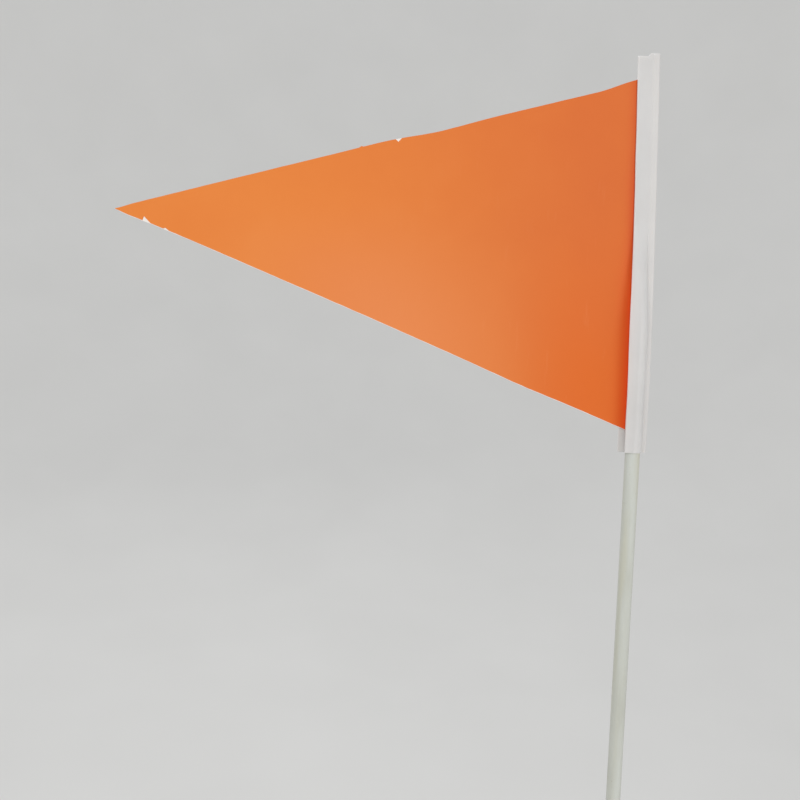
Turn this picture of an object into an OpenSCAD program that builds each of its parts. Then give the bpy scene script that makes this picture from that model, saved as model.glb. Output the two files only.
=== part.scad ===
// Driveway snow marker: a round fibreglass rod that is pushed into the ground,
// and an orange pennant in a white plastic holder that turns on the rod's upper end.
// Millimetres. +Z is up, along the rod. The origin is on the rod's axis at the ground line.
// The pennant points to -X and its front faces -Y.

/* [Rod] */
// Whole length of the rod, from its point to its top
rod_length = 914.4; // [600:0.1:1500]
// Diameter of the rod
rod_diameter = 6.35; // [4.5:0.05:10]
// Length of the ground point
point_length = 14; // [6:1:40]
// Diameter of the blunt end of the ground point
point_end_diameter = 1.6; // [0.8:0.1:3]
// Chamfer round the rod's upper end
rod_chamfer = 0.5; // [0.2:0.1:1]
// How deep the rod stands in the ground
buried_depth = 200; // [100:5:350]
// Height of the shallow ring that marks the ground line
depth_ring_height = 1.2; // [0.8:0.1:4]
// Depth of that ring
depth_ring_depth = 0.25; // [0.2:0.05:0.5]

/* [Pennant] */
// Length of the pennant, from its tip to the inner edge of its hem
flag_length = 228.6; // [150:0.1:350]
// Height of the pennant at its hem
flag_height = 151; // [80:1:250]
// How far the tip lies below the upper corner
tip_drop = 62.8; // [20:0.1:80]
// Width of the blunt end at the tip
tip_width = 0.6; // [0.3:0.1:2]
// Thickness of the white core sheet
core_thickness = 0.3; // [0.2:0.05:0.8]
// Thickness of the orange film on each side
film_thickness = 0.1; // [0.05:0.01:0.2]

/* [Holder] */
// Plain length of the holder below the pennant
holder_below_flag = 10; // [2:0.5:30]
// Plain length of the holder above the pennant
holder_above_flag = 11; // [2:0.5:30]
// How far the rod reaches into the holder
socket_depth = 50; // [40:1:140]
// Length over which the holder flattens above the rod
taper_length = 50; // [15:1:60]
// Wall of the holder
wall = 0.4; // [0.3:0.05:1]
// Reach of the slot's front wall, from the rod's axis towards the pennant
front_reach = 2.2; // [1:0.1:2.2]
// Width of the free front flap, from where it leaves the tube
flap_width = 3.7; // [1:0.1:6]
// Tilt of the flap towards the pennant, in degrees
flap_tilt = 19; // [0:1:30]
// Reach of the rear leaf towards the pennant, at the lower end
rear_reach_low = 5.6; // [3.8:0.1:12]
// Reach of the rear leaf towards the pennant, at the upper end
rear_reach_high = 2.4; // [2:0.1:10]
// Width of the solid bead along the holder's closed edge
bead_width = 2.6; // [2:0.1:6]
// Thickness of the bead
bead_thickness = 1.9; // [1.6:0.1:3]
// Width of the valley between the rod's tube and the bead
valley_width = 1.1; // [0.5:0.1:3]
// Height of the step in the hand-cut upper end
cut_step = 1.3; // [0.5:0.1:2]
// Width of the slanted part of that step
cut_slant = 1.4; // [0.5:0.1:2]

/* [Fits] */
// Radial gap between the rod and the holder's tube, so that the pennant turns
rod_clearance = 0.05; // [0.02:0.01:0.1]
// Gap above the rod's end, inside the tube
end_gap = 0.5; // [0.3:0.1:2]
// Thickness of the adhesive tape that holds the hem
tape_thickness = 0.1; // [0.05:0.05:0.3]
// Gap between the hem's inner edge and the bead
hem_gap = 0.2; // [0.1:0.05:1]

/* [Hidden] */

// Facets of every round shape
round_fn = 96;

// The rod
rod_r = rod_diameter / 2;
rod_foot_z = -buried_depth;
rod_top_z = rod_length - buried_depth;

// The holder's cross-section, from the rod's axis: +X towards the bead, +Y to the back
bore_r = rod_r + rod_clearance;
tube_r = bore_r + wall;
slot_front_y = tube_r;
flag_thickness = core_thickness + 2 * film_thickness;
slot_gap = flag_thickness + tape_thickness;
leaf_y = slot_front_y + slot_gap;
holder_back_y = leaf_y + wall;
bead_left_x = tube_r + valley_width;
bead_right_x = bead_left_x + bead_width;
hem_x = bead_left_x - hem_gap;
flat_front_y = tube_r - 2 * wall;

// Heights
holder_low_z = rod_top_z - socket_depth;
flag_low_z = holder_low_z + holder_below_flag;
flag_high_z = flag_low_z + flag_height;
holder_high_z = flag_high_z + holder_above_flag;
holder_length = holder_high_z - holder_low_z;
socket_high_z = rod_top_z + end_gap;
flat_low_z = socket_high_z + taper_length;
tip_x = hem_x - flag_length;
tip_z = flag_high_z - tip_drop;

// Thin slice that starts and ends the blend of the taper
slice = 0.1;
// How far the flap's outer face lies inside the tube's, so that the two faces cross
flap_inset = 0.06;

// Round rod with a ground point, a ground-line ring and a chamfered top
module rod() {
    color([0.77, 0.77, 0.73])
        rotate_extrude($fn = round_fn)
            polygon([
                [0, rod_foot_z],
                [point_end_diameter / 2, rod_foot_z],
                [rod_r, rod_foot_z + point_length],
                [rod_r, 0],
                [rod_r - depth_ring_depth, 0],
                [rod_r - depth_ring_depth, depth_ring_height],
                [rod_r, depth_ring_height],
                [rod_r, rod_top_z - rod_chamfer],
                [rod_r - rod_chamfer, rod_top_z],
                [0, rod_top_z]
            ]);
}

// Plain strip of the cross-section, between two X values and two Y values
module strip(x_low, x_high, y_low, y_high) {
    translate([x_low, y_low])
        square([x_high - x_low, y_high - y_low]);
}

// Bead with a round outer edge, behind which the two leaves join
module bead_section() {
    bead_r = bead_thickness / 2;
    strip(bead_left_x, bead_right_x - bead_r, holder_back_y - bead_thickness, holder_back_y);
    translate([bead_right_x - bead_r, holder_back_y - bead_r])
        circle(r = bead_r, $fn = round_fn);
}

// Front wall of the hem slot, which runs into the bead
module front_jaw_section() {
    strip(-front_reach, bead_left_x + wall, slot_front_y - wall, slot_front_y);
}

// Tube above the front jaw, over the rod
module tube_section() {
    circle(r = tube_r, $fn = round_fn);
}

// Free flap, which runs on straight from the tube's front and shades the pennant's hem
module flap_section(width) {
    rotate(-flap_tilt)
        translate([-width, flap_inset - tube_r])
            square([width, wall]);
}

// Tube pressed flat against the front jaw, above the rod
module flat_section() {
    strip(-front_reach, bead_left_x + wall, flat_front_y, slot_front_y);
}

// Rear leaf, whose free edge is cut on a slant
module rear_leaf() {
    translate([0, holder_back_y, 0])
        rotate([90, 0, 0])
            linear_extrude(wall)
                polygon([
                    [-rear_reach_low, holder_low_z],
                    [bead_left_x + wall, holder_low_z],
                    [bead_left_x + wall, holder_high_z],
                    [-rear_reach_high, holder_high_z]
                ]);
}

// Smooth change from the round tube with its flap to the flat one
module taper() {
    hull() {
        translate([0, 0, socket_high_z])
            linear_extrude(slice) {
                circle(r = tube_r, $fn = 32);
                flap_section(flap_width - flap_inset);
            }
        translate([0, 0, flat_low_z])
            linear_extrude(slice)
                flat_section();
    }
}

// What the hand cut takes off the front of the upper end, on the pennant's side
module upper_cut() {
    depth = slot_front_y - flat_front_y + bead_thickness;
    middle_x = (bead_right_x - front_reach) / 2;
    translate([0, slot_front_y, 0])
        rotate([90, 0, 0])
            linear_extrude(depth)
                polygon([
                    [-front_reach - 1, holder_high_z - cut_step],
                    [middle_x - cut_slant, holder_high_z - cut_step],
                    [middle_x, holder_high_z],
                    [middle_x, holder_high_z + 1],
                    [-front_reach - 1, holder_high_z + 1]
                ]);
}

// White holder: tube for the rod, free front flap, slot for the hem, rear leaf and bead
module flag_holder() {
    color([0.93, 0.92, 0.91])
        difference() {
            union() {
                translate([0, 0, holder_low_z])
                    linear_extrude(holder_length) {
                        bead_section();
                        front_jaw_section();
                    }
                translate([0, 0, holder_low_z])
                    linear_extrude(socket_high_z - holder_low_z + slice) {
                        tube_section();
                        flap_section(flap_width);
                    }
                taper();
                translate([0, 0, flat_low_z])
                    linear_extrude(holder_high_z - flat_low_z)
                        flat_section();
                rear_leaf();
            }
            translate([0, 0, holder_low_z - 1])
                cylinder(h = socket_high_z - holder_low_z + 1, r = bore_r, $fn = round_fn);
            upper_cut();
        }
}

// Outline of the pennant, seen from the front: a straight hem, then two edges to the tip
module flag_outline() {
    polygon([
        [hem_x, flag_low_z],
        [hem_x, flag_high_z],
        [-front_reach, flag_high_z],
        [tip_x, tip_z + tip_width / 2],
        [tip_x, tip_z - tip_width / 2],
        [-front_reach, flag_low_z]
    ]);
}

// One ply of the pennant, from its front face at depth_y, counted from the slot's front wall
module flag_ply(depth_y, thickness) {
    translate([0, slot_front_y + depth_y + thickness, 0])
        rotate([90, 0, 0])
            linear_extrude(thickness)
                flag_outline();
}

// Orange film on the front
module flag_film_front() {
    color([0.90, 0.45, 0.16])
        flag_ply(0, film_thickness);
}

// White sheet between the films
module flag_core() {
    color([0.95, 0.94, 0.92])
        flag_ply(film_thickness, core_thickness);
}

// Orange film on the back
module flag_film_rear() {
    color([0.90, 0.45, 0.16])
        flag_ply(film_thickness + core_thickness, film_thickness);
}

// Double-sided tape between the hem and the rear leaf
module hem_tape() {
    color([0.88, 0.86, 0.78])
        translate([-front_reach, leaf_y - tape_thickness, flag_low_z])
            cube([hem_x + front_reach, tape_thickness, flag_height]);
}

rod();
flag_holder();
hem_tape();
flag_core();
flag_film_front();
flag_film_rear();
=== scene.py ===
"""Looks of the driveway snow marker: pennant, holder and rod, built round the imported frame."""
import math

import bmesh
import bpy
from mathutils import Euler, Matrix, Vector, geometry, noise


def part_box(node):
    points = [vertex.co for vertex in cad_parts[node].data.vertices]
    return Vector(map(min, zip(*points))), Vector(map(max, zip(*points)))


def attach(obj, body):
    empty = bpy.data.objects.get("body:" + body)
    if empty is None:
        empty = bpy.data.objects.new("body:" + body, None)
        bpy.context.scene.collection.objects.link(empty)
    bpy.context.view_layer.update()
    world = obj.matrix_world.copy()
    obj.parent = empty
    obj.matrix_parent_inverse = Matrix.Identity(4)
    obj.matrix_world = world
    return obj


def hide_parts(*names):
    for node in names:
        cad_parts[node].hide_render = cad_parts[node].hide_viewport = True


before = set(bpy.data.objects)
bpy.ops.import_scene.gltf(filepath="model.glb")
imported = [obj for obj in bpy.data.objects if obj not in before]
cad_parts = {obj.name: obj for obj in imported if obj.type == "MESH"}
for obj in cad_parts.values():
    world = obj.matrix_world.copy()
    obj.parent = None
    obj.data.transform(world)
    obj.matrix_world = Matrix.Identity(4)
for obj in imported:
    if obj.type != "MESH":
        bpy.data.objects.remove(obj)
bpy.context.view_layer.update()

MM = 0.001

# ---------------------------------------------------------------- sizes from the frame
ROD_LOW, ROD_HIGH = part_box("rod")
HOLDER_LOW, HOLDER_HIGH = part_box("flag_holder")
CORE_LOW, CORE_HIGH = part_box("flag_core")
FRONT_LOW, FRONT_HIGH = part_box("flag_film_front")
REAR_LOW, REAR_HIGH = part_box("flag_film_rear")
TAPE_LOW, TAPE_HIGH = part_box("hem_tape")

TUBE_R = -HOLDER_LOW.y
WALL = HOLDER_HIGH.y - TAPE_HIGH.y
BORE_R = TUBE_R - WALL
SLOT_FRONT_Y = FRONT_LOW.y
LEAF_Y = TAPE_HIGH.y
BACK_Y = HOLDER_HIGH.y
LIP_X = TAPE_LOW.x
HEM_X = CORE_HIGH.x
BEAD_RIGHT_X = HOLDER_HIGH.x
FLAG_HEIGHT = CORE_HIGH.z - CORE_LOW.z
TIP_X = CORE_LOW.x
TIP_Z = min(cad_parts["flag_core"].data.vertices, key=lambda v: v.co.x).co.z
REACH = LIP_X - TIP_X

# ---------------------------------------------------------------- sizes of the holder's section
BEAD_LEFT_X = HEM_X + 0.2 * MM
BEAD_THICKNESS = 1.9 * MM
BEAD_FRONT_Y = BACK_Y - BEAD_THICKNESS
FLAT_Y = TUBE_R - 2 * WALL
VALLEY_Y = BEAD_FRONT_Y + 0.14 * MM
# How far the valley's lowest line lies from the bead, over the rod and where the holder is pressed flat
VALLEY_REACH = 0.5 * MM
FLAT_VALLEY_REACH = 0.4 * MM
# The pressed front: where its foot and its crest lie from the bead, and the share before its flap
FOOT_REACH = 0.75 * MM
CREST_REACH = 1.5 * MM
FLAP_SHARE = 0.68
# The pressed front reaches a little past the slot, with a slightly lifted edge
LIP_OVERHANG = 0.2 * MM
LIP_LIFT = 0.03 * MM
TAPER_LENGTH = 56 * MM
# Free flap: its width at the lower end and at the rod's end, and its tilt towards the pennant, in degrees
FLAP_WIDTH_LOW = 3.15 * MM
FLAP_WIDTH_HIGH = 3.65 * MM
FLAP_TILT = 19
REJOIN_LENGTH = 30 * MM
# Slit that stays of the tube above the rod: half its gap, and how far it ends from the bead and the lip
SLIT_GAP = 0.03 * MM
SLIT_FROM_BEAD = 1.1 * MM
SLIT_FROM_LIP = 0.35 * MM
# Cut ends: the upper end's step and how far it stays under the CAD box, and the lower end's slope
CUT_BELOW_TOP = 0.12 * MM
CUT_STEP = 1.3 * MM
CUT_SLANT = 1.5 * MM
CUT_MIDDLE_X = 2.6 * MM
LOWER_CUT_SLOPE = 0.7 * MM
LOWER_CUT_RISE = 0.3 * MM
# Part of the holder at each end that is left to the end's own cut
CUT_ROOM = 2.2 * MM
REAR_REACH_LOW = -HOLDER_LOW.x
REAR_REACH_HIGH = 1.7 * MM

# Above the pennant, the slot for the hem is pressed shut
SLOT_CLOSES_Z = CORE_HIGH.z + 1 * MM
SLOT_CLOSING_LENGTH = 2 * MM

# The plastic strip isn't quite straight: it bows towards the pennant above this height
BOW = 3.6 * MM
BOW_START_Z = HOLDER_LOW.z + 31 * MM

# How far the pennant's soft curve stands forward of the holder's slot
CURL = 3.0 * MM
CURL_PLACE = 0.27


def smooth(t):
    """Smooth step from 0 to 1, held at the ends."""
    t = min(max(t, 0.0), 1.0)
    return t * t * (3 - 2 * t)


def lerp(a, b, t):
    """Value between a and b, at share t."""
    return a + (b - a) * t


def bow(z):
    """Sideways shift of the holder's strip and of what it holds, at a height."""
    t = max(0.0, (z - BOW_START_Z) / (HOLDER_HIGH.z - BOW_START_Z))
    return -BOW * t ** 1.32


def tube_x(z):
    """Sideways place of the tube's axis: on the rod's axis over the rod, then back to the strip's bow."""
    return bow(z) * smooth((z - ROD_HIGH.z) / REJOIN_LENGTH)


def wander(position, scale, size, seed=0.0):
    """Slow irregularity of a hand-made or worn edge: noise of the given size, over the given scale."""
    return size * noise.noise(Vector((position / scale, seed, 0.7 * seed)))


# ---------------------------------------------------------------- materials
def node_material(name):
    """New material with its node tree, its Principled shader and a helper that adds nodes."""
    material = bpy.data.materials.new(name)
    material.use_nodes = True
    tree = material.node_tree
    shader = tree.nodes["Principled BSDF"]

    def add(kind, **values):
        node = tree.nodes.new(kind)
        for key, value in values.items():
            if hasattr(node, key):
                setattr(node, key, value)
            else:
                node.inputs[key].default_value = value
        return node

    return material, tree.links.new, shader, add


def object_coordinates(add, link, scale):
    """Object coordinates, scaled along each axis, as the vector of a texture."""
    place = add("ShaderNodeTexCoord")
    mapping = add("ShaderNodeMapping")
    mapping.inputs["Scale"].default_value = scale
    link(place.outputs["Object"], mapping.inputs["Vector"])
    return mapping.outputs["Vector"]


def texture(add, link, vector, scale, detail=3.0, roughness=0.5):
    """Noise from 0 to 1 over the given coordinates."""
    node = add("ShaderNodeTexNoise")
    node.inputs["Scale"].default_value = scale
    node.inputs["Detail"].default_value = detail
    node.inputs["Roughness"].default_value = roughness
    link(vector, node.inputs["Vector"])
    return node.outputs["Fac"]


def ramp(add, link, value, stops):
    """Colour ramp through (position, colour) stops."""
    node = add("ShaderNodeValToRGB")
    elements = node.color_ramp.elements
    while len(elements) < len(stops):
        elements.new(0.5)
    for element, (position, colour) in zip(elements, stops):
        element.position = position
        element.color = (*colour, 1.0)
    link(value, node.inputs["Fac"])
    return node.outputs["Color"]


def blend_colours(add, link, share, first, second):
    """Mix of a colour output with a second output or plain colour, by a share."""
    node = add("ShaderNodeMix", data_type="RGBA")
    link(share, node.inputs["Factor"])
    link(first, node.inputs["A"])
    if hasattr(second, "is_linked"):
        link(second, node.inputs["B"])
    else:
        node.inputs["B"].default_value = (*second, 1.0)
    return node.outputs["Result"]


def span(add, link, value, low, high, to_low=0.0, to_high=1.0):
    """Value mapped from one range to another, held at the ends."""
    node = add("ShaderNodeMapRange")
    node.inputs["From Min"].default_value = low
    node.inputs["From Max"].default_value = high
    node.inputs["To Min"].default_value = to_low
    node.inputs["To Max"].default_value = to_high
    link(value, node.inputs["Value"])
    return node.outputs["Result"]


def add_bump(add, link, shader, heights):
    """Chain of bumps: each is (height output, strength, distance in metres)."""
    normal = None
    for height, strength, distance in heights:
        node = add("ShaderNodeBump")
        node.inputs["Strength"].default_value = strength
        node.inputs["Distance"].default_value = distance
        link(height, node.inputs["Height"])
        if normal is not None:
            link(normal, node.inputs["Normal"])
        normal = node.outputs["Normal"]
    link(normal, shader.inputs["Normal"])


TINT_COLOURS = [
    # Painted sheen along the lower edge
    ("painted_sheen", (0.880, 0.272, 0.085)),
    # Deeper orange at the lower corner of the hem
    ("lower_corner_orange", (0.810, 0.158, 0.016)),
    # Painted shade beside the upper part of the flap
    ("painted_upper_shade", (0.660, 0.066, 0.010)),
    # Painted shade and red bounce light beside the lower part of the flap
    ("holder_shade", (1.000, 0.105, 0.017)),
]


def orange_film():
    """Safety-orange vinyl: even colour with a faint mottle, fine calender grain and light scuffs; tints
    add painted light towards the tip, a painted sheen, deeper orange at the lower corner, and painted
    shade and red bounce light beside the flap.
    """
    material, link, shader, add = node_material("orange_film")
    even = object_coordinates(add, link, (1, 1, 1))
    drawn = object_coordinates(add, link, (1, 1, 0.12))
    mottle = texture(add, link, even, 26, 3, 0.55)
    grain = texture(add, link, even, 2600, 2, 0.6)
    scuff = texture(add, link, drawn, 420, 4, 0.7)
    strong = ramp(add, link, mottle, [
        (0.30, (0.750, 0.156, 0.026)),
        (0.55, (0.770, 0.168, 0.030)),
        (0.75, (0.785, 0.180, 0.036)),
    ])
    # Painted light: a lighter copy of the orange, blended in towards the tip
    painted_lit_colour = ramp(add, link, mottle, [
        (0.30, (0.850, 0.230, 0.034)),
        (0.55, (0.865, 0.244, 0.040)),
        (0.75, (0.875, 0.258, 0.048)),
    ])
    tip_light_share = add("ShaderNodeAttribute", attribute_name="painted_tip_light")
    base = blend_colours(add, link, tip_light_share.outputs["Fac"], strong, painted_lit_colour)
    # Tints from the vertex attributes: a painted sheen, deeper orange at the lower corner, and painted
    # shade and red bounce light beside the flap
    for tint, colour in TINT_COLOURS:
        share = add("ShaderNodeAttribute", attribute_name=tint)
        base = blend_colours(add, link, share.outputs["Fac"], base, colour)
    worn = span(add, link, scuff, 0.62, 0.80, 0.0, 0.10)
    link(blend_colours(add, link, worn, base, (0.93, 0.40, 0.17)), shader.inputs["Base Color"])
    link(span(add, link, mottle, 0.3, 0.7, 0.44, 0.54), shader.inputs["Roughness"])
    shader.inputs["Specular IOR Level"].default_value = 0.25
    add_bump(add, link, shader, [
        (texture(add, link, even, 60, 2, 0.5), 0.10, 0.6 * MM),
        (grain, 0.16, 0.05 * MM),
    ])
    return material


def white_core():
    """White vinyl sheet, chalky where the film has flaked and at the cut edge."""
    material, link, shader, add = node_material("white_core")
    even = object_coordinates(add, link, (1, 1, 1))
    grain = texture(add, link, even, 1800, 3, 0.6)
    cloud = texture(add, link, even, 140, 2, 0.5)
    link(ramp(add, link, cloud, [
        (0.3, (0.93, 0.87, 0.82)),
        (0.7, (0.97, 0.94, 0.90)),
    ]), shader.inputs["Base Color"])
    link(span(add, link, grain, 0.3, 0.7, 0.65, 0.85), shader.inputs["Roughness"])
    add_bump(add, link, shader, [(grain, 0.4, 0.08 * MM)])
    return material


def holder_plastic():
    """White soft PVC, slightly translucent: extrusion lines along its length, faint handling marks."""
    material, link, shader, add = node_material("holder_plastic")
    even = object_coordinates(add, link, (1, 1, 1))
    drawn = object_coordinates(add, link, (1, 1, 0.012))
    cloud = texture(add, link, even, 45, 3, 0.5)
    lines = texture(add, link, drawn, 2400, 3, 0.6)
    marks = texture(add, link, even, 700, 4, 0.75)
    base = ramp(add, link, cloud, [
        (0.30, (0.700, 0.682, 0.670)),
        (0.70, (0.735, 0.716, 0.703)),
    ])
    dust = span(add, link, marks, 0.66, 0.80, 0.0, 0.22)
    link(blend_colours(add, link, dust, base, (0.52, 0.47, 0.42)), shader.inputs["Base Color"])
    link(span(add, link, lines, 0.3, 0.7, 0.34, 0.48), shader.inputs["Roughness"])
    shader.inputs["Subsurface Weight"].default_value = 0.4
    shader.inputs["Subsurface Radius"].default_value = (1.0, 0.95, 0.9)
    shader.inputs["Subsurface Scale"].default_value = 1.2 * MM
    add_bump(add, link, shader, [
        (lines, 0.12, 0.08 * MM),
        (texture(add, link, even, 120, 2, 0.5), 0.15, 0.3 * MM),
    ])
    return material


def fibreglass():
    """Pale grey-green pultruded rod: lengthwise glass fibres, resin flecks, and soil wear at the foot."""
    material, link, shader, add = node_material("fibreglass")
    even = object_coordinates(add, link, (1, 1, 1))
    drawn = object_coordinates(add, link, (1, 1, 0.018))
    slow = object_coordinates(add, link, (1, 1, 0.10))
    fibres = texture(add, link, drawn, 1500, 4, 0.65)
    bands = texture(add, link, slow, 240, 2, 0.5)
    flecks = texture(add, link, even, 1300, 1, 0.5)
    stain = texture(add, link, slow, 130, 2, 0.5)
    base = ramp(add, link, bands, [
        (0.32, (0.560, 0.567, 0.505)),
        (0.52, (0.608, 0.620, 0.565)),
        (0.72, (0.648, 0.668, 0.622)),
    ])
    streak = span(add, link, fibres, 0.50, 0.72, 0.0, 0.30)
    base = blend_colours(add, link, streak, base, (0.69, 0.70, 0.63))
    yellow = span(add, link, stain, 0.50, 0.68, 0.0, 0.5)
    base = blend_colours(add, link, yellow, base, (0.60, 0.58, 0.44))
    brown = span(add, link, flecks, 0.74, 0.80, 0.0, 0.6)
    base = blend_colours(add, link, brown, base, (0.36, 0.31, 0.22))
    height = add("ShaderNodeSeparateXYZ")
    link(even, height.inputs["Vector"])
    depth = span(add, link, height.outputs["Z"], ROD_LOW.z, 0.0, 0.55, 0.0)
    soil = add("ShaderNodeMath", operation="MULTIPLY")
    link(depth, soil.inputs[0])
    link(span(add, link, texture(add, link, even, 90, 5, 0.7), 0.40, 0.72), soil.inputs[1])
    base = blend_colours(add, link, soil.outputs["Value"], base, (0.30, 0.26, 0.20))
    link(base, shader.inputs["Base Color"])
    link(span(add, link, fibres, 0.3, 0.7, 0.36, 0.52), shader.inputs["Roughness"])
    shader.inputs["Subsurface Weight"].default_value = 0.10
    shader.inputs["Subsurface Radius"].default_value = (1.0, 1.0, 0.85)
    shader.inputs["Subsurface Scale"].default_value = 1.0 * MM
    add_bump(add, link, shader, [
        (fibres, 0.25, 0.06 * MM),
        (bands, 0.15, 0.2 * MM),
    ])
    return material


def tape():
    """Thin double-sided tape, cream, with a torn paper grain."""
    material, link, shader, add = node_material("adhesive_tape")
    even = object_coordinates(add, link, (1, 1, 1))
    grain = texture(add, link, even, 900, 4, 0.7)
    link(ramp(add, link, grain, [
        (0.3, (0.66, 0.60, 0.46)),
        (0.7, (0.78, 0.73, 0.60)),
    ]), shader.inputs["Base Color"])
    link(span(add, link, grain, 0.3, 0.7, 0.5, 0.7), shader.inputs["Roughness"])
    add_bump(add, link, shader, [(grain, 0.3, 0.05 * MM)])
    return material


def studio_grey():
    """Plain pale floor and backdrop."""
    material, link, shader, add = node_material("studio_grey")
    even = object_coordinates(add, link, (1, 1, 1))
    cloud = texture(add, link, even, 3, 2, 0.5)
    link(ramp(add, link, cloud, [
        (0.3, (0.425, 0.422, 0.412)),
        (0.7, (0.445, 0.442, 0.432)),
    ]), shader.inputs["Base Color"])
    shader.inputs["Roughness"].default_value = 0.9
    shader.inputs["Specular IOR Level"].default_value = 0.1
    shader.inputs["Emission Color"].default_value = (1.0, 0.995, 0.98, 1.0)
    shader.inputs["Emission Strength"].default_value = 0.27
    return material


# ---------------------------------------------------------------- mesh helpers
def finish_mesh(name, bm, material, sharp_degrees=35):
    """Object from a bmesh: outward normals, smooth faces with crisp edges, one material."""
    bmesh.ops.remove_doubles(bm, verts=bm.verts, dist=1e-7)
    bmesh.ops.recalc_face_normals(bm, faces=bm.faces)
    mesh = bpy.data.meshes.new(name)
    bm.to_mesh(mesh)
    bm.free()
    mesh.polygons.foreach_set("use_smooth", [True] * len(mesh.polygons))
    mesh.set_sharp_from_angle(angle=math.radians(sharp_degrees))
    mesh.materials.append(material)
    piece = bpy.data.objects.new(name, mesh)
    bpy.context.scene.collection.objects.link(piece)
    return piece


def skin(bm, rings):
    """Side faces between closed rings of points; returns the rings as vertices."""
    made = [[bm.verts.new(point) for point in ring] for ring in rings]
    for low, high in zip(made, made[1:]):
        for i in range(len(low)):
            j = (i + 1) % len(low)
            bm.faces.new((low[i], low[j], high[j], high[i]))
    return made


def cap(bm, *rings):
    """Flat end between an outer ring and any inner rings."""
    edges = []
    for ring in rings:
        for i in range(len(ring)):
            edges.append(bm.edges.get((ring[i], ring[(i + 1) % len(ring)])))
    bmesh.ops.triangle_fill(bm, edges=edges, use_beauty=True, normal=Vector((0, 0, 1)))


def stepped_cap(bm, ring):
    """End inside one ring, with the shortest triangles, so that a step in its height stays crisp."""
    plan = [Vector((corner.co.x, corner.co.y)) for corner in ring]
    inside, tolerance = 1, 1e-9
    found = geometry.delaunay_2d_cdt(plan, [], [list(range(len(plan)))], inside, tolerance)
    triangles, sources = found[2], found[3]
    for triangle in triangles:
        bm.faces.new([ring[sources[corner][0]] for corner in triangle])


def arc(radius, start_degrees, end_degrees, steps, centre=(0.0, 0.0)):
    """Points of an arc, its two ends included."""
    points = []
    for i in range(steps + 1):
        angle = math.radians(lerp(start_degrees, end_degrees, i / steps))
        points.append((centre[0] + radius * math.cos(angle), centre[1] + radius * math.sin(angle)))
    return points


def resample(path, count):
    """Evenly spaced points along a path of straight pieces, its two ends included."""
    lengths = [0.0]
    for a, b in zip(path, path[1:]):
        lengths.append(lengths[-1] + math.dist(a, b))
    points, k = [], 0
    for i in range(count):
        target = lengths[-1] * i / (count - 1)
        while k < len(path) - 2 and lengths[k + 1] < target:
            k += 1
        piece = lengths[k + 1] - lengths[k]
        t = (target - lengths[k]) / piece
        points.append((lerp(path[k][0], path[k + 1][0], t), lerp(path[k][1], path[k + 1][1], t)))
    return points


# ---------------------------------------------------------------- holder
# Points on each stretch of the section, the same at every height
BEAD_STEPS = 14
ARC_STEPS = 72
FLAP_STEPS = 18
UNDER_STEPS = 44
BORE_STEPS = 72
LEAF_STEPS = 24
BACK_STEPS = 56
SLOT_STEPS = 8
UNDER_BEAD_STEPS = 6
ROUND_STEPS = 14
LEAF_ROUND_STEPS = 6
# Angles on the tube, in degrees: where it meets the valley, where the flap leaves it and where the
# slot's wall begins, and the part of the bore that belongs to the front
JOIN_ANGLE = 35
LEAVE_ANGLE = -90 - FLAP_TILT
SLOT_ANGLE = -222
BORE_FRONT_SWEEP = 265


def between(first, second, share):
    """Outline between two outlines with the same number of points."""
    return [(lerp(a[0], b[0], share), lerp(a[1], b[1], share)) for a, b in zip(first, second)]


def flap_edge(z):
    """Outer corner of the free flap over the rod, which follows the strip's bow."""
    tilt = math.radians(FLAP_TILT)
    share = min(1.0, (z - HOLDER_LOW.z) / (ROD_HIGH.z - HOLDER_LOW.z))
    width = lerp(FLAP_WIDTH_LOW, FLAP_WIDTH_HIGH, share)
    x = -TUBE_R * math.sin(tilt) - width * math.cos(tilt)
    y = -TUBE_R * math.cos(tilt) + width * math.sin(tilt)
    return (x + bow(z), y)


def front_sheet(z, flatness):
    """Outer face of the front wall, from the bead round the rod and straight along the free flap."""
    shift, axis_x = bow(z), tube_x(z)
    bead_x, lip_x = BEAD_LEFT_X + shift, LIP_X + shift
    axis = (axis_x, 0.0)
    round_rod = arc(TUBE_R, JOIN_ANGLE, LEAVE_ANGLE, ARC_STEPS, axis)
    bead_edge = (bead_x, BEAD_FRONT_Y)
    over_rod = resample([bead_edge, (bead_x - VALLEY_REACH, VALLEY_Y), round_rod[0]], BEAD_STEPS)
    over_rod += round_rod[1:] + resample([round_rod[-1], flap_edge(z)], FLAP_STEPS)[1:]
    foot = (bead_x - FOOT_REACH, FLAT_Y)
    crest = (bead_x - CREST_REACH, FLAT_Y)
    turn = ARC_STEPS // 3
    pressed = resample([bead_edge, (bead_x - FLAT_VALLEY_REACH, FLAT_Y), foot], BEAD_STEPS)
    pressed += resample([foot, crest], turn + 1)[1:]
    flap_x = lerp(crest[0], lip_x, FLAP_SHARE)
    pressed += resample([crest, (flap_x, FLAT_Y)], ARC_STEPS - turn + 1)[1:]
    edge = (lip_x - LIP_OVERHANG, FLAT_Y + LIP_LIFT)
    pressed += resample([(flap_x, FLAT_Y), edge], FLAP_STEPS)[1:]
    return between(over_rod, pressed, flatness)


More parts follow.
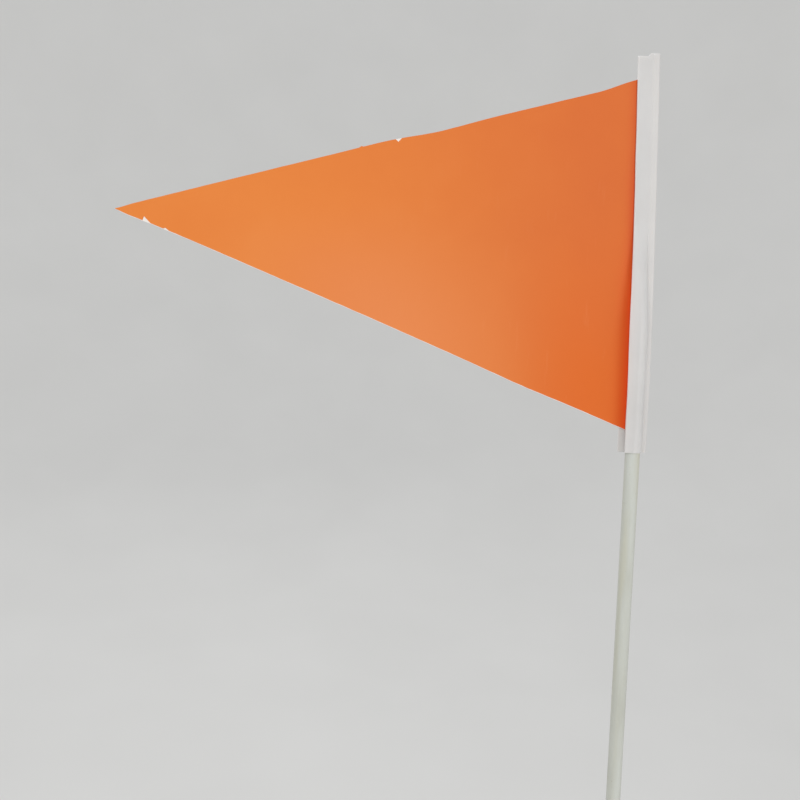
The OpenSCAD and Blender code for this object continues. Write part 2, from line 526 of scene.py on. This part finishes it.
def under_flap(z, flatness):
    """From the flap's rounded edge, under the flap and down the tube's side to the slot's front wall."""
    shift = bow(z)
    axis = (tube_x(z), 0.0)
    tilt = math.radians(FLAP_TILT)
    edge = flap_edge(z)
    inner = (edge[0] + WALL * math.sin(tilt), edge[1] + WALL * math.cos(tilt))
    middle = (lerp(edge[0], inner[0], 0.5) - WALL / 2 * math.cos(tilt), lerp(edge[1], inner[1], 0.5))
    meet = LEAVE_ANGLE - math.degrees(math.acos((TUBE_R - WALL) / TUBE_R))
    side = arc(TUBE_R, meet, SLOT_ANGLE, ARC_STEPS // 3, axis)
    slot_end = (LIP_X + shift, SLOT_FRONT_Y)
    over_rod = resample([edge, middle, inner] + side + [slot_end], UNDER_STEPS)
    lip_x = LIP_X + shift - LIP_OVERHANG
    bulge, bulge_depth, corner = 0.08 * MM, 0.25 * MM, 0.12 * MM
    pressed = resample([
        (lip_x, FLAT_Y + LIP_LIFT),
        (lip_x - bulge, FLAT_Y + bulge_depth),
        (lip_x, SLOT_FRONT_Y - corner),
        slot_end,
    ], UNDER_STEPS)
    return between(over_rod, pressed, flatness)[1:-1]


def back_of_section(z, rear_reach):
    """Rest of the section's outline: the slot for the hem, the rear leaf and the bead."""
    bead_r = BEAD_THICKNESS / 2
    round_leaf = WALL / 2
    leaf_x, bead_x = -rear_reach + round_leaf, BEAD_RIGHT_X - bead_r
    closed = smooth((z - SLOT_CLOSES_Z) / SLOT_CLOSING_LENGTH)
    slot_end_x = lerp(BEAD_LEFT_X, LIP_X + WALL, closed)
    points = resample([(LIP_X, SLOT_FRONT_Y), (slot_end_x, SLOT_FRONT_Y)], SLOT_STEPS)
    points += resample([(slot_end_x, LEAF_Y), (leaf_x, LEAF_Y)], LEAF_STEPS)
    points += arc(round_leaf, -90, -270, LEAF_ROUND_STEPS, (leaf_x, LEAF_Y + round_leaf))[1:-1]
    points += resample([(leaf_x, BACK_Y), (bead_x, BACK_Y)], BACK_STEPS)
    points += arc(bead_r, 90, -90, ROUND_STEPS, (bead_x, BACK_Y - bead_r))[1:-1]
    points += resample([(bead_x, BEAD_FRONT_Y), (BEAD_LEFT_X, BEAD_FRONT_Y)], UNDER_BEAD_STEPS)[:-1]
    return [(x + bow(z), y) for x, y in points]


def bore_section(flatness, shift, axis_x):
    """Inside of the rod's tube, which closes to a slit above the rod."""
    axis = (axis_x, 0.0)
    turn = JOIN_ANGLE - BORE_FRONT_SWEEP
    front = resample(arc(BORE_R, JOIN_ANGLE, turn, 60, axis), BORE_STEPS)
    rear = resample(arc(BORE_R, turn, JOIN_ANGLE - 360, 24, axis), BORE_STEPS // 3)[1:-1]
    middle_y = FLAT_Y + WALL
    near_y, far_y = middle_y - SLIT_GAP, middle_y + SLIT_GAP
    right_x, left_x = BEAD_LEFT_X - SLIT_FROM_BEAD + shift, LIP_X + SLIT_FROM_LIP + shift
    flat_front = resample([(right_x, near_y), (left_x, near_y)], len(front))
    flat_rear = resample([(left_x, far_y), (right_x, far_y)], len(rear) + 2)[1:-1]
    return between(front + rear, flat_front + flat_rear, flatness)


def upper_cut(x, y):
    """Height of the hand-cut upper end: two cuts that meet in a step, lower on the pennant's side."""
    high = HOLDER_HIGH.z - CUT_BELOW_TOP + wander(x, 2.2 * MM, 0.10 * MM, 3.1)
    return high - CUT_STEP * (1 - smooth((x + BOW - CUT_MIDDLE_X) / CUT_SLANT + 0.5))


def lower_cut(x, y):
    """Height of the lower end, cut a little out of square both ways."""
    across = (BEAD_RIGHT_X - x) / (BEAD_RIGHT_X - HOLDER_LOW.x)
    forward = (BACK_Y - y) / (BACK_Y + TUBE_R)
    rough = wander(x, 1.6 * MM, 0.05 * MM, 8.3)
    return HOLDER_LOW.z + LOWER_CUT_RISE * across + LOWER_CUT_SLOPE * forward + rough


def section_heights():
    """Heights of the level rings between the two cut ends."""
    inside_low, inside_high = HOLDER_LOW.z + CUT_ROOM, HOLDER_HIGH.z - CUT_ROOM
    steps = 84
    return [lerp(inside_low, inside_high, i / steps) for i in range(steps + 1)]


def build_holder(material):
    """White holder as one closed shell: tube over the rod, free flap, hem slot, rear leaf and bead."""
    def level(z):
        return lambda x, y: z

    def ring(points, height_of):
        return [(x, y, height_of(x, y)) for x, y in points]

    def rings_at(z, height_of):
        flatness = smooth((z - ROD_HIGH.z) / TAPER_LENGTH)
        share = (z - HOLDER_LOW.z) / (HOLDER_HIGH.z - HOLDER_LOW.z)
        reach = lerp(REAR_REACH_LOW, REAR_REACH_HIGH, share) + wander(z, 18 * MM, 0.12 * MM, 1.7)
        lip = wander(z, 14 * MM, 0.09 * MM, 5.9)
        sheet = front_sheet(z, flatness) + under_flap(z, flatness)
        sheet = [(x + lip * smooth(-x / TUBE_R), y) for x, y in sheet]
        section = sheet + back_of_section(z, reach)
        bore = bore_section(flatness, bow(z), tube_x(z))
        return ring(section, height_of), ring(bore, height_of)

    pairs = [rings_at(HOLDER_LOW.z, lower_cut)]
    pairs += [rings_at(z, level(z)) for z in section_heights()]
    pairs += [rings_at(HOLDER_HIGH.z, upper_cut)]
    outer = [pair[0] for pair in pairs]
    inner = [pair[1] for pair in pairs[:-1]]
    bm = bmesh.new()
    outside, inside = skin(bm, outer), skin(bm, inner)
    cap(bm, outside[0], inside[0])
    stepped_cap(bm, outside[-1])
    cap(bm, inside[-1])
    return finish_mesh("holder_sleeve", bm, material, 40)


# ---------------------------------------------------------------- pennant
# Chips in the front film, along each edge from the tip: start, deepest place, end, depth
LOWER_CHIPS = [
    (12.0 * MM, 12.7 * MM, 15.6 * MM, 1.9 * MM),
    (21.2 * MM, 22.2 * MM, 23.8 * MM, 0.7 * MM),
]
UPPER_CHIPS = [(122.7 * MM, 123.9 * MM, 125.5 * MM, 1.3 * MM)]
# Small burr that stands up from the upper edge
UPPER_BURR = (106.6 * MM, 107.6 * MM, 108.6 * MM, -0.45 * MM)
# White line of the core along the lower cut edge
CORE_EDGE = 0.2 * MM


def notch(distance, chip):
    """Depth of a chip at a distance along the edge."""
    start, deepest, end, depth = chip
    if start < distance < deepest:
        return depth * (distance - start) / (deepest - start)
    if deepest <= distance < end:
        return depth * (end - distance) / (end - deepest)
    return 0.0


def edge_length(x, corner_z):
    """Distance from the tip along an edge, at an X value."""
    slope = (corner_z - TIP_Z) / REACH
    return (x - TIP_X) * math.hypot(1, slope)


def upper_edge(x):
    """Height of the pennant's upper edge: full towards the tip, hollow towards the holder."""
    t = min(1.0, (x - TIP_X) / REACH)
    full = 0.35 * MM * smooth(t / 0.04) * (1 - smooth((t - 0.25) / 0.3))
    hollow = 1.25 * MM * smooth((t - 0.50) / 0.12) * (1 - smooth((t - 0.92) / 0.08))
    hollow += 0.4 * MM * math.exp(-(((t - 0.63) / 0.06) ** 2))
    rough = wander(x, 4 * MM, 0.07 * MM, 2.3) * smooth((1 - t) * 40)
    return lerp(TIP_Z, CORE_HIGH.z, t) + full - hollow + rough


def lower_edge(x):
    """Height of the pennant's lower edge: it sags a little near the holder, and its tip is blunt."""
    t = min(1.0, (x - TIP_X) / REACH)
    waver = 0.3 * MM * smooth((t - 0.05) / 0.1) * (1 - smooth((t - 0.45) / 0.2))
    sag = 0.55 * MM * math.exp(-(((t - 0.78) / 0.09) ** 2))
    blunt = 0.4 * MM * smooth(t / 0.015) * (1 - smooth((t - 0.02) / 0.05))
    rough = wander(x, 5 * MM, 0.06 * MM, 6.1) * smooth((1 - t) * 40)
    return lerp(TIP_Z, CORE_LOW.z, t) + waver - sag - blunt + rough


def pennant_depth(x, z):
    """How far the pennant stands off its slot's plane: a soft curl, more at the lower edge."""
    u = max(0.0, (LIP_X - 2 * MM - x) / REACH)
    swell = (u / CURL_PLACE) ** 2 * math.exp(2 - 2 * u / CURL_PLACE)
    height = (z - CORE_LOW.z) / FLAG_HEIGHT
    ripple = 0.5 * MM * math.sin(7.5 * u + 2.2 * height) * smooth(u * 3)
    loose = 0.8 * MM * noise.noise(Vector((x / 0.055, 4.0, z / 0.045))) * smooth(u * 4)
    return -CURL * swell * (1 - 0.6 * height) + ripple + loose


def column_places():
    """X values of the pennant's columns, with some exactly at the ends and depths of the chips."""
    places = [lerp(HEM_X, LIP_X, i / 4) for i in range(5)]
    steps = 150
    places += [lerp(LIP_X, TIP_X, i / steps) for i in range(1, steps + 1)]
    marks = [(chip, CORE_LOW.z) for chip in LOWER_CHIPS]
    marks += [(chip, CORE_HIGH.z) for chip in UPPER_CHIPS + [UPPER_BURR]]
    for chip, corner_z in marks:
        slant = math.hypot(1, (corner_z - TIP_Z) / REACH)
        for distance in chip[:3]:
            places.append(TIP_X + distance / slant)
            places.append(TIP_X + (distance + 0.03 * MM) / slant)
    return sorted(set(places), reverse=True)


def flap_shade_falloff(x, width):
    """1 beside the holder's flap, fading over a few millimetres: where painted shade lies beside the flap.
    """
    gap = max(0.0, LIP_X - x)
    return math.exp(-((gap / width) ** 1.5))


def upper_share(z):
    """0 along the lower third of the hem, 1 along the upper half."""
    return smooth(((z - CORE_LOW.z) / FLAG_HEIGHT - 0.3) / 0.3)


def holder_shade(x, z, share):
    """Painted shade and red bounce light: bright red film beside the lower part of the flap, which covers
    the most there.
    """
    return (1 - upper_share(z)) * flap_shade_falloff(x, 3.6 * MM)


def painted_upper_shade(x, z, share):
    """Painted shade: deeper red film beside the upper part of the flap, which fades near the top."""
    height = (z - CORE_LOW.z) / FLAG_HEIGHT
    return upper_share(z) * (0.9 - 0.35 * smooth((height - 0.65) / 0.2)) * flap_shade_falloff(x, 2.4 * MM)


def painted_tip_light(x, z, share):
    """Painted light: 1 where the film is painted lighter, towards the tip; 0 at the holder."""
    height = (z - CORE_LOW.z) / FLAG_HEIGHT
    return 1 - smooth((x - TIP_X) / REACH * 1.25 - 0.40 + 0.12 * height)


def painted_sheen(x, z, share):
    """Painted sheen: a pale haze along the middle of the lower edge."""
    t = (x - TIP_X) / REACH
    return 0.8 * math.exp(-(((t - 0.52) / 0.22) ** 2)) * (1 - smooth(share / 0.8))


def lower_corner_orange(x, z, share):
    """Deeper orange at the lower corner of the hem."""
    t = (x - TIP_X) / REACH
    return smooth((t - 0.72) / 0.2) * (1 - smooth(share / 0.75))


# Vertex attributes of the film: painted light towards the tip, a painted sheen, deeper orange at the lower
# corner, and painted shade beside the flap
FILM_TINTS = {
    "painted_tip_light": painted_tip_light,
    "painted_sheen": painted_sheen,
    "lower_corner_orange": lower_corner_orange,
    "painted_upper_shade": painted_upper_shade,
    "holder_shade": holder_shade,
}
ROW_SHARES = [0.0, 0.01, 0.03] + [0.06 + 0.88 * i / 34 for i in range(35)] + [0.97, 0.99, 1.0]


def build_ply(name, front_y, thickness, material, low_inset, high_inset):
    """One ply as a thin closed sheet; the insets say how far its edges lie inside the cut outline."""
    bm = bmesh.new()
    layers = [(bm.verts.layers.float.new(tint), strength) for tint, strength in FILM_TINTS.items()]
    sides = []
    for offset in (front_y, front_y + thickness):
        columns = []
        for x in column_places():
            low, high = lower_edge(x) + low_inset(x), upper_edge(x) - high_inset(x)
            if high < low + 0.3 * MM:
                low, high = TIP_Z - 0.15 * MM, TIP_Z + 0.15 * MM
            column = []
            for share in ROW_SHARES:
                z = lerp(low, high, share)
                corner = bm.verts.new((x + bow(z), offset + pennant_depth(x, z), z))
                for layer, strength in layers:
                    corner[layer] = strength(x, z, share)
                column.append(corner)
            columns.append(column)
        sides.append(columns)
    front, rear = sides
    last_row = len(ROW_SHARES) - 1
    for i in range(len(front) - 1):
        for j in range(last_row):
            bm.faces.new((front[i][j], front[i][j + 1], front[i + 1][j + 1], front[i + 1][j]))
            bm.faces.new((rear[i][j], rear[i + 1][j], rear[i + 1][j + 1], rear[i][j + 1]))
        for j in (0, last_row):
            bm.faces.new((front[i][j], front[i + 1][j], rear[i + 1][j], rear[i][j]))
    for i in (0, len(front) - 1):
        for j in range(last_row):
            bm.faces.new((front[i][j], front[i][j + 1], rear[i][j + 1], rear[i][j]))
    return finish_mesh(name, bm, material, 50)


def in_hem(x):
    """1 in the slot, 0 outside it: the film runs to the core's edge in the slot."""
    return smooth((x - LIP_X) / (1 * MM))


def front_low_inset(x):
    chips = sum(notch(edge_length(x, CORE_LOW.z), chip) for chip in LOWER_CHIPS)
    line = CORE_EDGE * (1 - in_hem(x)) * smooth((x - TIP_X) / (4 * MM)) + wander(x, 3 * MM, 0.08 * MM, 9.4)
    return max(0.05 * MM, line) + chips


def front_high_inset(x):
    return sum(notch(edge_length(x, CORE_HIGH.z), chip) for chip in UPPER_CHIPS + [UPPER_BURR])


def no_inset(x):
    """Edge on the cut outline itself."""
    return 0.0


def rear_low_inset(x):
    return 0.06 * MM


def build_pennant(film, core):
    front_t = FRONT_HIGH.y - FRONT_LOW.y
    core_t = CORE_HIGH.y - CORE_LOW.y
    rear_t = REAR_HIGH.y - REAR_LOW.y
    return [
        build_ply("pennant_film_front", FRONT_LOW.y, front_t, film, front_low_inset, front_high_inset),
        build_ply("pennant_core", CORE_LOW.y, core_t, core, no_inset, no_inset),
        build_ply("pennant_film_rear", REAR_LOW.y, rear_t, film, rear_low_inset, no_inset),
    ]


def build_tape(material):
    """Strip of tape behind the hem, with slightly uneven torn ends."""
    bm = bmesh.new()
    rings = []
    steps = 40
    for i in range(steps + 1):
        z = lerp(TAPE_LOW.z, TAPE_HIGH.z, i / steps)
        edge = wander(z, 9 * MM, 0.15 * MM, 12.2)
        shift = bow(z)
        left, right = TAPE_LOW.x + 0.3 * MM + edge + shift, TAPE_HIGH.x - 0.1 * MM + shift
        rings.append([
            (left, TAPE_LOW.y, z),
            (right, TAPE_LOW.y, z),
            (right, TAPE_HIGH.y, z),
            (left, TAPE_HIGH.y, z),
        ])
    made = skin(bm, rings)
    bm.faces.new(made[0])
    bm.faces.new(made[-1])
    return finish_mesh("hem_tape_strip", bm, material, 30)


# ---------------------------------------------------------------- studio
def build_studio(material):
    """Pale floor under the rod's foot, curving up all round into the wall of a light tent."""
    floor_z = ROD_LOW.z - 1 * MM
    flat_r, bend_r, wall_high = 1.6, 2.4, 1.6
    profile = [(0.0, floor_z), (1.0, floor_z), (flat_r, floor_z)]
    profile += [(flat_r + x, floor_z + bend_r + y) for x, y in arc(bend_r, -90, 0, 12)[1:]]
    profile.append((flat_r + bend_r, floor_z + bend_r + wall_high))
    bm = bmesh.new()
    steps = 96
    rings = []
    for radius, z in profile[1:]:
        ring = []
        for i in range(steps):
            angle = 2 * math.pi * i / steps
            ring.append((radius * math.cos(angle), radius * math.sin(angle), z))
        rings.append(ring)
    made = skin(bm, rings)
    bm.faces.new(made[0])
    floor = finish_mesh("studio_floor", bm, material, 60)


def aim(obj, target):
    """Turns a lamp towards a place."""
    obj.rotation_euler = (Vector(target) - obj.location).to_track_quat("-Z", "Y").to_euler()


def add_area_light(name, place, target, size, power, colour):
    light = bpy.data.lights.new(name, "AREA")
    light.shape = "DISK"
    light.size = size
    light.energy = power
    light.color = colour
    lamp = bpy.data.objects.new(name, light)
    lamp.location = place
    aim(lamp, target)
    bpy.context.scene.collection.objects.link(lamp)


def build_lights():
    flag_centre = (TIP_X / 2, 0, TIP_Z)
    add_area_light("key", (-0.75, -1.7, TIP_Z + 0.9), flag_centre, 1.6, 10.7, (1.0, 0.99, 0.97))
    add_area_light("fill", (0.75, -1.65, TIP_Z + 0.2), flag_centre, 1.4, 6.0, (1.0, 1.0, 1.0))
    add_area_light("back", (-0.5, 1.8, TIP_Z + 1.1), flag_centre, 1.6, 11.6, (1.0, 1.0, 1.0))
    world = bpy.data.worlds.new("soft_daylight")
    world.use_nodes = True
    background = world.node_tree.nodes["Background"]
    background.inputs["Color"].default_value = (0.93, 0.96, 1.0, 1.0)
    background.inputs["Strength"].default_value = 0.75
    bpy.context.scene.world = world


def build_camera():
    """Camera close in front of the pennant, turned a little, with the rod leaning out of frame."""
    camera = bpy.data.cameras.new("camera")
    camera.sensor_width = 36
    camera.lens = 33.75
    camera.clip_start = 0.01
    eye = bpy.data.objects.new("camera", camera)
    eye.location = (-118.4 * MM, -322.5 * MM, HOLDER_LOW.z + 47.4 * MM)
    tilt, pan, roll = (math.radians(a) for a in (-4.65, -2.70, -1.75))
    look = Euler((math.pi / 2 + tilt, 0, pan), "XYZ").to_matrix()
    turn = Euler((0, 0, -roll), "XYZ").to_matrix()
    eye.rotation_euler = (look @ turn).to_euler()
    bpy.context.scene.collection.objects.link(eye)
    bpy.context.scene.camera = eye


# ---------------------------------------------------------------- assembly
def dress_node(node, material):
    """Gives a CAD node a better material."""
    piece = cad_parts[node]
    piece.data.materials.clear()
    piece.data.materials.append(material)


bpy.context.scene.view_settings.view_transform = "Standard"
film_material, core_material = orange_film(), white_core()
build_camera()
build_studio(studio_grey())
build_lights()

dress_node("rod", fibreglass())

holder = build_holder(holder_plastic())
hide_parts("flag_holder")
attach(holder, "flag")

strip = build_tape(tape())
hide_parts("hem_tape")
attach(strip, "flag")

PLIES = [
    ("flag_film_front", "orange_film"),
    ("flag_core", "vinyl_core"),
    ("flag_film_rear", "orange_film"),
]
for ply, (node, slot) in zip(build_pennant(film_material, core_material), PLIES):
    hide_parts(node)
    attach(ply, "flag")
